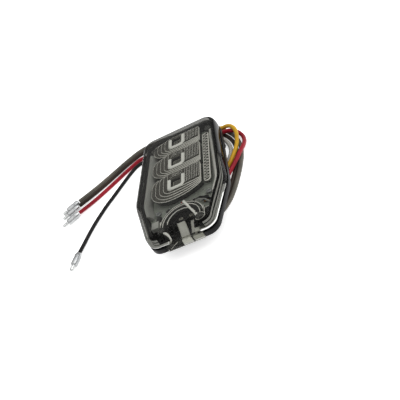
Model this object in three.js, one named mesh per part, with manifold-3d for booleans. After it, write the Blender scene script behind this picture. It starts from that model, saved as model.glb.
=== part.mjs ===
// A motorcycle LED tail light lying on its back. X is across, Y runs along the unit from the
// number-plate end to the far end, Z points out through the lens. Millimetres.
// The unit stands on its rear bosses and feet at Z = 0; its wires lie on the same plane.
import * as THREE from "three";
import { mergeVertices } from "three/addons/utils/BufferGeometryUtils.js";
import Module from "manifold-3d";

const wasm = await Module();
wasm.setup();

// ---- driving dimensions ---------------------------------------------------------------
const LENGTH = 100;
const FAR_WIDTH = 54;
const MID_WIDTH = 60;
const NEAR_WIDTH = 41;
const WIDEST_Y = -14;
const FAR_RADIUS = 9;
const MID_RADIUS = 30;
const NEAR_RADIUS = 8;

const GAP = 0.3; // between pieces that touch
const STAND_HEIGHT = 10; // rear bosses and feet
const BACK_THICKNESS = 2.4;
const RIM_TOP = 14.2;
const RIM_WALL = 2.4;
const SEAL_HEIGHT = 0.9;
const LENS_FOOT = RIM_TOP + SEAL_HEIGHT + 2 * GAP;
const LENS_TOP = 24;
const WINDOW_HALF_WIDTH = 12;

const BOARD_BOTTOM = 13.2;
const BOARD_TOP = 14.8;
const BEZEL_TOP = 20.4;
const BEZEL_INSET = 3.1;
const BEZEL_WALL = 1.3;
const BEZEL_STEP_Y = 8; // nearer than this only the lip of the bezel is left
const BEZEL_LIP_BOTTOM = 18.2;

const OPTIC_X = -2.2;
const OPTIC_PITCH = 21.2;
const NEAR_OPTIC_Y = -3.9; // where the LED of the nearest optic sits
const OPTIC_HALF_WIDTH = 16.8;
const OPTIC_TOP = 21.4;
const OPTIC_TIERS = 3;

const STRIP_X = 17.9;
const STRIP_WIDTH = 4.6;
const STRIP_NEAR_Y = -11.5;
const STRIP_FAR_Y = 37.4;

const NEAR_POST = [12.4, -40.2];
const FAR_POST = [20.2, 40.8];
const POST_RADIUS = 2.6;

const HOOD_HALF_WIDTH = 12.6;
const HOOD_FAR_Y = -23.4;
const HOOD_WALL = 4.4;
const HOOD_TOP = 17.6;
const HOOD_FLOOR = 14;
const HOOD_NEAR_Y = -46.6;
const HOOD_STEP_Y = -33.2; // nearer than this the hood has no floor
const BAR_WIDTH = 5;
const BAR_X = [-1.5, 5.4];
const BOARD_SCREWS = [
  [-16.7, -20.8],
  [17.5, -18.5],
];

const BOSS_RADIUS = 4.6;
const BOSS_Y = [-31.8, 30];
const FOOT_RADIUS = 4.3; // hollow feet round the two far lens screws
const SCREW_WELL_RADIUS = 3.1;
const BOARD_PADS = [...BOARD_SCREWS, [0, 38]];
const CABLE_BOX = { halfWidth: 8.5, near: -4, far: 18, bottom: 1.6 };
const GROMMET = { halfWidth: 6, near: -9.5, bottom: 1.9, top: 8.6 };

const WIRE = 2.8; // diameter of the five thick wires
const THIN_WIRE = 2.6;
const WIRE_SIDES = 8;

// Each wire's route from the grommet to its connector. Under the body the wires turn right,
// bow round the far right corner, pass behind the far end and run off to the left.
const ROUTES = {
  wire_grey: [
    [-3.3, -9.8, 6.6], [-3.3, -13.5, 6.0], [-2, -19, 3.6], [2.5, -24, 1.8], [9.5, -26.3, 1.5],
    [17.2, -24.2, 1.5], [23.4, -17.6, 1.5], [27.6, -8.8, 1.5], [31, 1.6, 1.5], [33.6, 12, 1.5],
    [35.2, 22, 1.5], [35.2, 32, 1.5], [33, 42, 1.5], [28.4, 51.6, 1.5], [21.2, 61.4, 1.5],
    [11, 69.4, 1.5], [-1, 74.8, 1.5], [-14, 77.6, 1.5], [-28, 79.4, 1.5], [-42.9, 79, 1.5],
    [-53.2, 74.4, 1.5], [-62.4, 68.7, 1.5], [-71.6, 62.7, 1.5], [-82.3, 56, 1.7], [-94.5, 48.4, 2.5],
  ],
  wire_brown: [
    [0, -9.8, 3.4], [0, -13.5, 3.1], [1.5, -18, 2], [5, -21.4, 1.5], [10.5, -23, 1.5],
    [16.2, -20.9, 1.5], [20.8, -15.6, 1.5], [24.6, -7.3, 1.5], [27.9, 2.6, 1.5], [30.5, 12.6, 1.5],
    [32, 22.3, 1.5], [32, 31.6, 1.5], [30, 40.8, 1.5], [25.6, 49.8, 1.5], [18.9, 59, 1.5],
    [9.4, 66.4, 1.5], [-2, 71.4, 1.5], [-15, 74.2, 1.5], [-28.5, 75.4, 1.5], [-42.5, 74.2, 1.5],
    [-52.8, 69.5, 1.5], [-61.9, 63.6, 1.5], [-71, 57.4, 1.5], [-81.5, 50.7, 1.7], [-93.5, 43, 2.5],
  ],
  wire_red: [
    [0, -9.8, 6.6], [0.1, -13.2, 6.5], [3.1, -17.8, 5.7], [8.4, -19, 4.7], [13.8, -16, 4],
    [18.6, -8, 3.6], [23.4, 0, 4.2], [28.4, 7.4, 4.8], [32.2, 14.2, 4.9], [35.6, 21.4, 4.8],
    [37.9, 29.6, 3], [38.3, 37.4, 1.7], [36.4, 44.2, 1.8], [33.8, 46.8, 3.6], [30.6, 48.2, 5],
    [24.3, 50.4, 4.8], [19.6, 51.8, 4.6], [14.5, 52.8, 3], [8, 53.4, 1.6], [0, 54, 1.5],
    [-10, 55.4, 1.5], [-20, 58.8, 1.5], [-31, 64.4, 1.5], [-42.3, 67.6, 1.5], [-52.2, 62.4, 1.5],
    [-61.2, 56, 1.5], [-70, 49.6, 1.5], [-80.4, 42.4, 1.7], [-92.2, 34.6, 2.5],
  ],
  wire_yellow: [
    [3.3, -9.8, 6.6], [3.4, -12.4, 6.5], [5.8, -15.3, 6], [9.6, -15.2, 5.4], [13, -11.6, 4.8],
    [16.4, -4.4, 4.6], [19.8, 3, 4.7], [23.6, 8.2, 4.8], [27.6, 13.6, 4.9], [31, 21, 4.9],
    [33.6, 29, 4.9], [34.6, 36.4, 5.2], [34.8, 42, 5.8], [33.6, 47, 6.9], [29.8, 52.2, 6.6],
    [25.2, 55, 5.2], [20.6, 57.4, 5], [15.6, 59, 4.8], [10.4, 61.2, 3.4], [4, 63.6, 1.6],
    [-4, 65.2, 1.5], [-11, 66.4, 2.5],
  ],
  wire_white: [
    [3.3, -9.8, 3.4], [3.4, -12.3, 3.2], [5.8, -15, 2.2], [9.4, -15, 1.6], [12.6, -11.4, 1.5],
    [15.8, -4.4, 1.5], [19, 4, 1.5], [22.8, 13.5, 1.5], [26, 22, 1.5], [28.2, 30.5, 1.5],
    [27.5, 37.8, 1.5], [24.4, 45.6, 1.5], [20.4, 51.6, 1.5], [15.4, 56.4, 1.5], [9.8, 58, 1.8],
    [5.6, 58.4, 2.5],
  ],
  wire_black: [
    [-3.3, -9.8, 3.4], [-3.7, -12.4, 3.2], [-6.8, -15.4, 2.2], [-11.6, -15.2, 1.5], [-16, -11.4, 1.4],
    [-19, -4, 1.4], [-21.5, 6, 1.4], [-24, 18, 1.4], [-27, 31, 1.4], [-30.5, 44, 1.4],
    [-33.6, 53.6, 1.4], [-37.2, 59.8, 1.4], [-41.4, 62.6, 1.4], [-46.4, 60.8, 1.4], [-50.7, 56.4, 1.4],
    [-55.9, 49.4, 1.4], [-60.3, 43, 1.4], [-64.4, 37, 1.4], [-68.3, 31.6, 1.4], [-72.6, 24.4, 1.4],
    [-76.4, 17.4, 1.4], [-80.2, 9, 1.4], [-83.2, 0, 1.7], [-85.6, -8.2, 2.3],
  ],
};

// ---- materials ------------------------------------------------------------------------
function finish(color, roughness, metalness = 0, extra = {}) {
  return new THREE.MeshStandardMaterial({ color, roughness, metalness, ...extra });
}
const CLEAR = { transparent: true, opacity: 0.35 };
const materials = {
  lens: finish(0xdfe3e2, 0.05, 0, CLEAR),
  optic: finish(0xe6e9e8, 0.08, 0, { transparent: true, opacity: 0.6 }),
  black: finish(0x141516, 0.45),
  matteBlack: finish(0x0d0e0f, 0.7),
  seal: finish(0x101010, 0.85),
  reflector: finish(0x8f9291, 0.35, 0.2),
  board: finish(0x4d5550, 0.5),
  ledBody: finish(0xe8e6da, 0.4),
  chip: finish(0x18191a, 0.5),
  tin: finish(0xc9cac8, 0.3, 0.9),
  brass: finish(0xb98b45, 0.35, 1),
  steel: finish(0xa9abad, 0.35, 1),
  pale: finish(0xb9bcb8, 0.4),
  grommet: finish(0x1b1c1c, 0.8),
};

// ---- solids ---------------------------------------------------------------------------
// A closed three.js geometry as a manifold-3d solid, for cuts and joins.
function toSolid(geometry) {
  const bare = geometry.index ? geometry.toNonIndexed() : geometry.clone();
  for (const name of Object.keys(bare.attributes)) {
    if (name !== "position") bare.deleteAttribute(name);
  }
  const merged = mergeVertices(bare, 1e-4);
  return new wasm.Manifold(
    new wasm.Mesh({
      numProp: 3,
      vertProperties: merged.attributes.position.array,
      triVerts: new Uint32Array(merged.index.array),
    }),
  );
}

function toGeometry(solid) {
  const mesh = solid.getMesh();
  const geometry = new THREE.BufferGeometry();
  geometry.setAttribute("position", new THREE.BufferAttribute(new Float32Array(mesh.vertProperties), 3));
  geometry.setIndex(new THREE.BufferAttribute(new Uint32Array(mesh.triVerts), 1));
  return geometry;
}

const join = (first, ...rest) => rest.reduce((solid, piece) => solid.add(piece), first);
const cut = (first, ...rest) => rest.reduce((solid, piece) => solid.subtract(piece), first);

// A box between two corners.
function box(x0, y0, z0, x1, y1, z1) {
  const geometry = new THREE.BoxGeometry(x1 - x0, y1 - y0, z1 - z0);
  geometry.translate((x0 + x1) / 2, (y0 + y1) / 2, (z0 + z1) / 2);
  return toSolid(geometry);
}

// An upright cylinder or cone from z0 to z1.
function post(x, y, z0, z1, radius, topRadius = radius, sides = 32) {
  const geometry = new THREE.CylinderGeometry(topRadius, radius, z1 - z0, sides);
  geometry.rotateX(Math.PI / 2);
  geometry.translate(x, y, (z0 + z1) / 2);
  return toSolid(geometry);
}

// A flat outline raised from z0 to z1.
function slab(points, z0, z1) {
  const geometry = new THREE.ExtrudeGeometry(new THREE.Shape(points), {
    depth: z1 - z0,
    bevelEnabled: false,
  });
  geometry.translate(0, 0, z0);
  return toSolid(geometry);
}

// A convex solid through rings of [x, y, z] points with equal counts, lowest ring first.
// Its two ends are fans to a middle point, the top one raised by crown.
function loft(rings, crown = 0) {
  const count = rings[0].length;
  const positions = rings.flat(2);
  const middle = (ring, lift) => {
    const sum = ring.reduce((a, p) => [a[0] + p[0], a[1] + p[1], p[2]], [0, 0, 0]);
    return [sum[0] / count, sum[1] / count, sum[2] + lift];
  };
  const last = rings.length - 1;
  const lowMiddle = count * rings.length;
  positions.push(...middle(rings[0], 0), ...middle(rings[last], crown));
  const faces = [];
  for (let i = 0; i < count; i++) {
    const j = (i + 1) % count;
    faces.push(lowMiddle, j, i);
    faces.push(lowMiddle + 1, last * count + i, last * count + j);
    for (let r = 0; r < last; r++) {
      const low = r * count;
      const high = low + count;
      faces.push(low + i, low + j, high + j, low + i, high + j, high + i);
    }
  }
  const geometry = new THREE.BufferGeometry();
  geometry.setAttribute("position", new THREE.Float32BufferAttribute(positions, 3));
  geometry.setIndex(faces);
  return toSolid(geometry);
}

// ---- the plan outline -----------------------------------------------------------------
// The six corners, anticlockwise from the near right, with the radius of each.
const CORNERS = [
  [NEAR_WIDTH / 2, -LENGTH / 2, NEAR_RADIUS],
  [MID_WIDTH / 2, WIDEST_Y, MID_RADIUS],
  [FAR_WIDTH / 2, LENGTH / 2, FAR_RADIUS],
  [-FAR_WIDTH / 2, LENGTH / 2, FAR_RADIUS],
  [-MID_WIDTH / 2, WIDEST_Y, MID_RADIUS],
  [-NEAR_WIDTH / 2, -LENGTH / 2, NEAR_RADIUS],
];
const CORNER_STEPS = 5;

// The outline moved inwards by inset, as THREE.Vector2 points with round corners.
function outline(inset) {
  const count = CORNERS.length;
  const corner = (i) => new THREE.Vector2(...CORNERS[(i + count) % count]);
  const edge = (i) => corner(i + 1).sub(corner(i)).normalize();
  const points = [];
  for (let i = 0; i < count; i++) {
    const before = edge(i - 1);
    const after = edge(i);
    const half = Math.acos(THREE.MathUtils.clamp(before.dot(after), -1, 1)) / 2;
    const inward = new THREE.Vector2(-before.y - after.y, before.x + after.x).normalize();
    const radius = Math.max(CORNERS[i][2] - inset, 0.5);
    const vertex = corner(i).addScaledVector(inward, inset / Math.cos(half));
    const centre = vertex.clone().addScaledVector(inward, radius / Math.cos(half));
    const middle = Math.atan2(-inward.y, -inward.x);
    for (let k = 0; k <= CORNER_STEPS; k++) {
      const angle = middle - half + (2 * half * k) / CORNER_STEPS;
      points.push(
        new THREE.Vector2(centre.x + radius * Math.cos(angle), centre.y + radius * Math.sin(angle)),
      );
    }
  }
  return points;
}

const ring = (inset, z) => outline(inset).map((p) => [p.x, p.y, z]);

// A wall that follows the outline, between two insets and two heights.
const wall = (inset, thickness, z0, z1) =>
  cut(slab(outline(inset), z0, z1), slab(outline(inset + thickness), z0 - 1, z1 + 1));

// A rectangle with round corners; the two near corners can be rounder than the far ones.
function roundRectangle(x0, y0, x1, y1, farRadius, nearRadius = farRadius, steps = 5) {
  const centres = [
    [x1 - nearRadius, y0 + nearRadius, nearRadius, -90],
    [x1 - farRadius, y1 - farRadius, farRadius, 0],
    [x0 + farRadius, y1 - farRadius, farRadius, 90],
    [x0 + nearRadius, y0 + nearRadius, nearRadius, 180],
  ];
  return centres.flatMap(([cx, cy, radius, start]) =>
    Array.from({ length: steps + 1 }, (_, k) => {
      const angle = THREE.MathUtils.degToRad(start + (90 * k) / steps);
      return new THREE.Vector2(cx + radius * Math.cos(angle), cy + radius * Math.sin(angle));
    }),
  );
}

// ---- assembly -------------------------------------------------------------------------
const tailLight = new THREE.Group();

function add(name, solid, material) {
  const mesh = new THREE.Mesh(toGeometry(solid), material);
  mesh.name = name;
  tailLight.add(mesh);
  return mesh;
}

const posts = [
  [NEAR_POST[0], NEAR_POST[1]],
  [-NEAR_POST[0], NEAR_POST[1]],
  [FAR_POST[0], FAR_POST[1]],
  [-FAR_POST[0], FAR_POST[1]],
];

function rearHousing() {
  const plateTop = STAND_HEIGHT + BACK_THICKNESS;
  const shell = loft([ring(1.2, STAND_HEIGHT), ring(0, STAND_HEIGHT + 1), ring(0, RIM_TOP)]);
  let body = cut(shell, slab(outline(RIM_WALL), plateTop, RIM_TOP + 1));
  for (const y of BOSS_Y) body = body.add(post(0, y, 0, STAND_HEIGHT + 1, BOSS_RADIUS));
  for (const [x, y] of posts.slice(2)) {
    body = body.add(post(x, y, 0, STAND_HEIGHT + 1, FOOT_RADIUS, FOOT_RADIUS, 24));
  }
  for (const [x, y] of BOARD_PADS) {
    body = body.add(post(x, y, plateTop - 1, BOARD_BOTTOM - GAP, 2.2, 2.2, 20));
  }
  const { halfWidth, near, far, bottom } = CABLE_BOX;
  body = body.add(box(-halfWidth, near, bottom, halfWidth, far, STAND_HEIGHT + 1));
  // The cable box is open to the inside and to the grommet.
  body = body.subtract(box(2 - halfWidth, near + 2, bottom + 1.6, halfWidth - 2, far - 2, plateTop + 1));
  body = body.subtract(box(-4.6, near - 1, 2.9, 4.6, near + 3, 7.6));
  // The number-plate window takes the place of the rim at the near end.
  const half = WINDOW_HALF_WIDTH;
  body = body.subtract(box(-half, -LENGTH / 2 - 1, STAND_HEIGHT - 1, half, 3 - LENGTH / 2, RIM_TOP + 1));
  for (const y of BOSS_Y) body = body.subtract(post(0, y, -1, 8.2, 3.4, 3.4, 24));
  for (const [x, y] of posts) body = body.subtract(post(x, y, -1, plateTop + 1, 1.9, 1.9, 16));
  for (const [x, y] of posts) {
    body = body.subtract(post(x, y, -1, STAND_HEIGHT + 0.9, SCREW_WELL_RADIUS, SCREW_WELL_RADIUS, 20));
  }
  for (const [x, y] of BOARD_SCREWS) body = body.subtract(post(x, y, plateTop - 1.2, 20, 1.15, 1.15, 16));
  return body;
}

function lensCover() {
  const outer = loft(
    [ring(0.15, LENS_FOOT), ring(0.35, 19), ring(0.9, 21.8), ring(1.9, 23.2), ring(3.4, LENS_TOP)],
    0.35,
  );
  const inner = loft(
    [ring(2.15, LENS_FOOT - 1), ring(2.3, 19), ring(2.75, 21), ring(3.5, 21.9), ring(5, 22.4)],
    0.3,
  );
  return cut(outer, inner);
}

function innerBezel() {
  const frame = wall(BEZEL_INSET, BEZEL_WALL, STAND_HEIGHT + BACK_THICKNESS + GAP, BEZEL_TOP);
  // Beside the side light guides only the top lip is left.
  const nearHalf = box(-40, -60, 0, 40, BEZEL_STEP_Y, BEZEL_LIP_BOTTOM);
  const plateGap = box(-9.5, -60, 0, 9.5, -40, 30);
  return cut(frame, nearHalf, plateGap, ...postHoles());
}

// A sloped satin wall inside the bezel on one side, from the number-plate light to the far post.
function reflector(side) {
  const inset = BEZEL_INSET + BEZEL_WALL + GAP;
  const outer = loft([ring(inset, BOARD_TOP + GAP), ring(inset, 19.6)]);
  const inner = loft([ring(inset + 4.4, BOARD_TOP), ring(inset + 1.1, 20)]);
  const stretch = side > 0 ? box(20.6, -24, 0, 40, 37.4, 40) : box(-40, -24, 0, -19.3, 37.4, 40);
  return cut(outer, inner).intersect(stretch);
}

function sideLightGuide(side) {
  const band = wall(BEZEL_INSET, BEZEL_WALL, STAND_HEIGHT + BACK_THICKNESS + GAP, BEZEL_LIP_BOTTOM - GAP);
  const far = BEZEL_STEP_Y - GAP;
  const stretch = side > 0 ? box(15, -36, 0, 40, far, 40) : box(-40, -36, 0, -15, far, 40);
  return band.intersect(stretch);
}

function opticBlock(index) {
  const y = NEAR_OPTIC_Y + index * OPTIC_PITCH;
  const reach = OPTIC_PITCH / 2 - GAP / 2;
  const near = index === 0 ? 14.6 : reach;
  const far = index === 2 ? 6.2 : reach;
  const bottom = BOARD_TOP + GAP;
  const height = OPTIC_TOP - bottom;
  let block;
  for (let tier = 0; tier < OPTIC_TIERS; tier++) {
    const shrink = tier * 2.6;
    const points = roundRectangle(
      OPTIC_X - OPTIC_HALF_WIDTH + shrink,
      y - near + shrink * 0.8,
      OPTIC_X + OPTIC_HALF_WIDTH - shrink * 0.3,
      y + far - shrink * 0.3,
      2,
      index === 0 ? 11 : 7,
    );
    const step = slab(points, tier ? bottom + 1 : bottom, bottom + (height * (tier + 1)) / OPTIC_TIERS);
    block = block ? block.add(step) : step;
  }
  const pocket = box(OPTIC_X - 3.2, y - 3.2, 0, OPTIC_X + 3.2, y + 3.2, 40);
  return cut(block, pocket, ...postHoles());
}

function mainLed(index) {
  const y = NEAR_OPTIC_Y + index * OPTIC_PITCH;
  const base = box(OPTIC_X - 2.7, y - 2.7, BOARD_TOP + GAP, OPTIC_X + 2.7, y + 2.7, 19.2);
  return base.add(post(OPTIC_X, y, 19, 19.9, 1.9, 1.3, 20));
}

function lightStrip() {
  const points = roundRectangle(
    STRIP_X - STRIP_WIDTH / 2,
    STRIP_NEAR_Y,
    STRIP_X + STRIP_WIDTH / 2,
    STRIP_FAR_Y,
    1.2,
    STRIP_WIDTH / 2 - 0.05,
  );
  let strip = slab(points, 16.6, 18.6);
  const ribPitch = 3.2;
  for (let y = STRIP_NEAR_Y + 3; y < STRIP_FAR_Y - 2; y += ribPitch) {
    strip = strip.subtract(box(STRIP_X - 3, y, 18.1, STRIP_X + 3, y + ribPitch / 2, 19));
  }
  // Two legs stand it on the board.
  const leg = (y) => box(STRIP_X - 1.5, y, BOARD_TOP + GAP, STRIP_X + 1.5, y + 2, 17);
  return join(strip, leg(STRIP_NEAR_Y + 1.6), leg(STRIP_FAR_Y - 2.8));
}

function circuitBoard() {
  let board = slab(outline(BEZEL_INSET + BEZEL_WALL + 0.6), BOARD_BOTTOM, BOARD_TOP);
  board = board.subtract(box(-40, -60, 0, 40, -30, 40));
  board = cut(board, slab(hoodOutline(HOOD_HALF_WIDTH + GAP, HOOD_FAR_Y + GAP), 0, 40), ...postHoles());
  for (const [x, y] of BOARD_SCREWS) board = board.subtract(post(x, y, 0, 40, 1.3, 1.3, 16));
  return board;
}

// A screw with its head at headZ: direction 1 has the head on top, -1 below.
function screw(x, y, headZ, length, shank, head, direction = 1) {
  const headHeight = head * 0.55;
  const shaft = direction > 0
    ? post(x, y, headZ - length, headZ + 0.2, shank * 0.7, shank, 16)
    : post(x, y, headZ - 0.2, headZ + length, shank, shank * 0.7, 16);
  const top = direction > 0
    ? post(x, y, headZ, headZ + headHeight, head, head * 0.75, 24)
    : post(x, y, headZ - headHeight, headZ, head * 0.75, head, 24);
  const drive = head * 0.45;
  const slotZ = direction > 0 ? headZ + headHeight : headZ - headHeight;
  const slot = (w, l) => box(x - w, y - l, slotZ - 0.6, x + w, y + l, slotZ + 0.6);
  return cut(join(shaft, top), slot(0.25, drive), slot(drive, 0.25));
}

// Clearance round the four lens posts, for the pieces they pass through.
const postHoles = () => posts.map(([x, y]) => post(x, y, 0, 40, POST_RADIUS + GAP, POST_RADIUS + GAP, 20));

// The hollow post that the lens screw bites into, standing on the back plate.
function lensPost(x, y) {
  const floor = STAND_HEIGHT + BACK_THICKNESS + GAP;
  const tube = post(x, y, floor, 19.4, POST_RADIUS, POST_RADIUS - 0.3, 24);
  return tube.subtract(post(x, y, floor - 1, 18, 1.25, 1.25, 16));
}

// The arch round the number-plate light: straight legs to the near end and a round far end.
function hoodOutline(halfWidth, farY) {
  const points = [new THREE.Vector2(-halfWidth, HOOD_NEAR_Y), new THREE.Vector2(halfWidth, HOOD_NEAR_Y)];
  const steps = 14;
  for (let k = 0; k <= steps; k++) {
    const angle = (Math.PI * k) / steps;
    points.push(
      new THREE.Vector2(halfWidth * Math.cos(angle), farY - halfWidth + halfWidth * Math.sin(angle)),
    );
  }
  return points;
}

// The black shroud of the number-plate light, open towards its window.
function plateHood() {
  const floor = STAND_HEIGHT + BACK_THICKNESS + GAP;
  const outer = slab(hoodOutline(HOOD_HALF_WIDTH, HOOD_FAR_Y), floor, HOOD_TOP);
  const half = HOOD_HALF_WIDTH - HOOD_WALL;
  const recess = slab(hoodOutline(half, HOOD_FAR_Y - HOOD_WALL), HOOD_FLOOR, HOOD_TOP + 1);
  const mouth = box(-half, HOOD_NEAR_Y - 1, 0, half, HOOD_STEP_Y, HOOD_TOP + 1);
  return cut(outer, recess, mouth, ...postHoles());
}

function plateLightBar(x) {
  // A pale ramp that falls from the hood to the window and hangs a tongue behind its pane.
  const floor = STAND_HEIGHT + BACK_THICKNESS + GAP;
  const profile = [
    new THREE.Vector2(-48.4, 10.3),
    new THREE.Vector2(-47.3, 10.3),
    new THREE.Vector2(-47.3, floor),
    new THREE.Vector2(HOOD_STEP_Y - GAP, floor),
    new THREE.Vector2(HOOD_STEP_Y - GAP, 17.4),
    new THREE.Vector2(-35, 17.4),
    new THREE.Vector2(-48.4, 13.6),
  ];
  const geometry = new THREE.ExtrudeGeometry(new THREE.Shape(profile), {
    depth: BAR_WIDTH,
    bevelEnabled: false,
  });
  const place = new THREE.Matrix4().makeBasis(
    new THREE.Vector3(0, 1, 0),
    new THREE.Vector3(0, 0, 1),
    new THREE.Vector3(1, 0, 0),
  );
  geometry.applyMatrix4(place);
  geometry.translate(x - BAR_WIDTH / 2, 0, 0);
  return toSolid(geometry);
}

function plateWindow() {
  const front = -LENGTH / 2 + 0.1;
  const half = WINDOW_HALF_WIDTH - GAP;
  return box(-half, front, STAND_HEIGHT + 0.2, half, front + 1.2, RIM_TOP);
}

function grommet() {
  const { halfWidth, near, bottom, top } = GROMMET;
  const flange = box(-halfWidth, near + 2.6, bottom, halfWidth, CABLE_BOX.near - GAP, top);
  const nose = box(1 - halfWidth, near, bottom + 0.3, halfWidth - 1, near + 3, top - 0.3);
  const plug = box(-4.3, CABLE_BOX.near - 1, 3.2, 4.3, CABLE_BOX.near + 1.7, 7.3);
  return join(flange, nose, plug);
}

// A brass insert moulded into a rear boss, its end just below the boss face.
function insert(y) {
  const sleeve = post(0, y, 0.4, 7.9, 3.1, 3.1, 24);
  return sleeve.subtract(post(0, y, -1, 9, 2.05, 2.05, 24));
}

// A plain tube along a wire's route.
function wireTube(points, diameter) {
  const curve = new THREE.CatmullRomCurve3(
    points.map((p) => new THREE.Vector3(...p)),
    false,
    "centripetal",
  );
  const section = new THREE.Shape();
  for (let k = 0; k < WIRE_SIDES; k++) {
    const angle = (2 * Math.PI * k) / WIRE_SIDES;
    const at = [(diameter / 2) * Math.cos(angle), (diameter / 2) * Math.sin(angle)];
    if (k) section.lineTo(...at);
    else section.moveTo(...at);
  }
  const steps = Math.ceil(curve.getLength() / (2.4 * diameter));
  const geometry = new THREE.ExtrudeGeometry(section, { steps, extrudePath: curve, bevelEnabled: false });
  return toSolid(geometry);
}

// A bullet connector in line with the end of a wire.
function bulletConnector(points, diameter) {
  const end = new THREE.Vector3(...points.at(-1));
  const before = new THREE.Vector3(...points.at(-2));
  const direction = end.clone().sub(before).setZ(0).normalize();
  const profile = [
    [0, 0], [diameter / 2 + 0.45, 0], [2.3, 1.6], [2.3, 9.4], [2, 10],
    [1.5, 10], [1.5, 13.4], [1, 14.6], [0, 14.6],
  ];
  const geometry = new THREE.LatheGeometry(profile.map((p) => new THREE.Vector2(...p)), 16);
  geometry.applyQuaternion(new THREE.Quaternion().setFromUnitVectors(new THREE.Vector3(0, 1, 0), direction));
  const start = end.clone().addScaledVector(direction, GAP + 0.1);
  geometry.translate(start.x, start.y, start.z);
  return toSolid(geometry);
}

add("rear_housing", rearHousing(), materials.black);
add("lens_cover", lensCover(), materials.lens);
add("lens_seal", wall(0.9, 1.2, RIM_TOP + GAP, RIM_TOP + GAP + SEAL_HEIGHT), materials.seal);
add("inner_bezel", innerBezel(), materials.black);
add("reflector_left", reflector(-1), materials.reflector);
add("reflector_right", reflector(1), materials.reflector);
add("side_light_guide_right", sideLightGuide(1), materials.optic);
add("side_light_guide_left", sideLightGuide(-1), materials.optic);
add("circuit_board", circuitBoard(), materials.board);
["near", "middle", "far"].forEach((place, index) => {
  add("optic_" + place, opticBlock(index), materials.optic);
  add("main_led_" + place, mainLed(index), materials.ledBody);
});
add("light_strip", lightStrip(), materials.optic);
[-5, 7, 19, 31].forEach((y, index) => {
  const led = box(STRIP_X - 1.4, y - 1.4, BOARD_TOP + GAP, STRIP_X + 1.4, y + 1.4, 16.3);
  add("side_led_" + (index + 1), led, materials.ledBody);
});

posts.forEach(([x, y], index) => {
  const place = (index < 2 ? "near" : "far") + (index % 2 ? "_left" : "_right");
  add("lens_post_" + place, lensPost(x, y), materials.lens);
  add("lens_screw_" + place, screw(x, y, STAND_HEIGHT + 0.6, 6.6, 1.1, 2.7, -1), materials.steel);
});
BOARD_SCREWS.forEach(([x, y], index) => {
  add("board_screw_" + (index + 1), screw(x, y, BOARD_TOP + GAP, 3.6, 0.9, 2, 1), materials.steel);
});

add("plate_light_hood", plateHood(), materials.matteBlack);
BAR_X.forEach((x, index) => {
  const place = index ? "right" : "left";
  const led = box(x - 1.3, HOOD_STEP_Y + 0.1, HOOD_FLOOR + GAP, x + 1.3, -31.6, 15.6);
  add("plate_light_bar_" + place, plateLightBar(x), materials.pale);
  add("plate_led_" + place, led, materials.ledBody);
});
add("plate_window", plateWindow(), materials.lens);

add("driver_chip", box(-18.2, -28.9, BOARD_TOP + GAP, -13.6, -24.4, 16.4), materials.chip);
add("inductor", post(15.6, -24.6, BOARD_TOP + GAP, 17, 2.2, 2.2, 24), materials.chip);
add("protection_diode", box(-11.6, -22.8, BOARD_TOP + GAP, -8, -20.6, 16.3), materials.chip);
[3.4, 6.6, 9.8].forEach((x, index) => {
  add("resistor_" + (index + 1), box(x, -22.4, BOARD_TOP + GAP, x + 1.8, -19.4, 15.7), materials.chip);
});

BOSS_Y.forEach((y, index) => {
  add("threaded_insert_" + (index + 1), insert(y), materials.brass);
});
add("cable_grommet", grommet(), materials.grommet);
add("vent_membrane", post(-20, 8, STAND_HEIGHT - 0.9, STAND_HEIGHT - GAP, 3, 3, 24), materials.pale);

const WIRE_COLOURS = {
  wire_grey: 0x5c5852,
  wire_brown: 0x33271f,
  wire_red: 0x8e1f2c,
  wire_yellow: 0xb98f2a,
  wire_white: 0xc9c6bd,
  wire_black: 0x141414,
};
for (const [name, points] of Object.entries(ROUTES)) {
  const diameter = name === "wire_black" ? THIN_WIRE : WIRE;
  add(name, wireTube(points, diameter), finish(WIRE_COLOURS[name], 0.45));
  add(name.replace("wire", "connector"), bulletConnector(points, diameter), materials.tin);
}

export default tailLight;
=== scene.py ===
import math

import bmesh
import bpy
from mathutils import Matrix, Vector


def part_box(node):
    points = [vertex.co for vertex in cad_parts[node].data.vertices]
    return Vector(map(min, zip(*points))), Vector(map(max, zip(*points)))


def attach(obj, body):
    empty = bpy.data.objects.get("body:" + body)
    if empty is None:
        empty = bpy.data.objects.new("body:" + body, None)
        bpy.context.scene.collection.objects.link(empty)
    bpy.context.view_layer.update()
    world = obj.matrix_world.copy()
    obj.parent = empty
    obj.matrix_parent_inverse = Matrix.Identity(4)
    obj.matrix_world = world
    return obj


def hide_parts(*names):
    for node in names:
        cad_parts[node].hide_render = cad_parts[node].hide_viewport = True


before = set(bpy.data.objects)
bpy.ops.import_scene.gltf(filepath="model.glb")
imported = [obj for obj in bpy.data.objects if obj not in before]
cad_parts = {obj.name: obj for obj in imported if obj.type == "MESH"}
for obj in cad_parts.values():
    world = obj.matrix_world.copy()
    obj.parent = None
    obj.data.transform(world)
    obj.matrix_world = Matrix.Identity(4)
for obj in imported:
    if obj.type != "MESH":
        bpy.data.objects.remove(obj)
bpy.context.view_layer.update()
MM = 0.001


def corner_mm(node):
    """Lowest and highest corner of a CAD node, in millimetres."""
    low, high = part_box(node)
    return [v / MM for v in low], [v / MM for v in high]


def add_object(name, data):
    """A new object in the scene."""
    obj = bpy.data.objects.new(name, data)
    bpy.context.scene.collection.objects.link(obj)
    return obj


# ---- sizes, in millimetres, from the frame
HOUSING_LOW, HOUSING_HIGH = corner_mm("rear_housing")
LENS_LOW, LENS_HIGH = corner_mm("lens_cover")
SEAL_LOW, SEAL_HIGH = corner_mm("lens_seal")
BOARD_TOP = corner_mm("circuit_board")[1][2]
HALF_LENGTH = HOUSING_HIGH[1]

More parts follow.
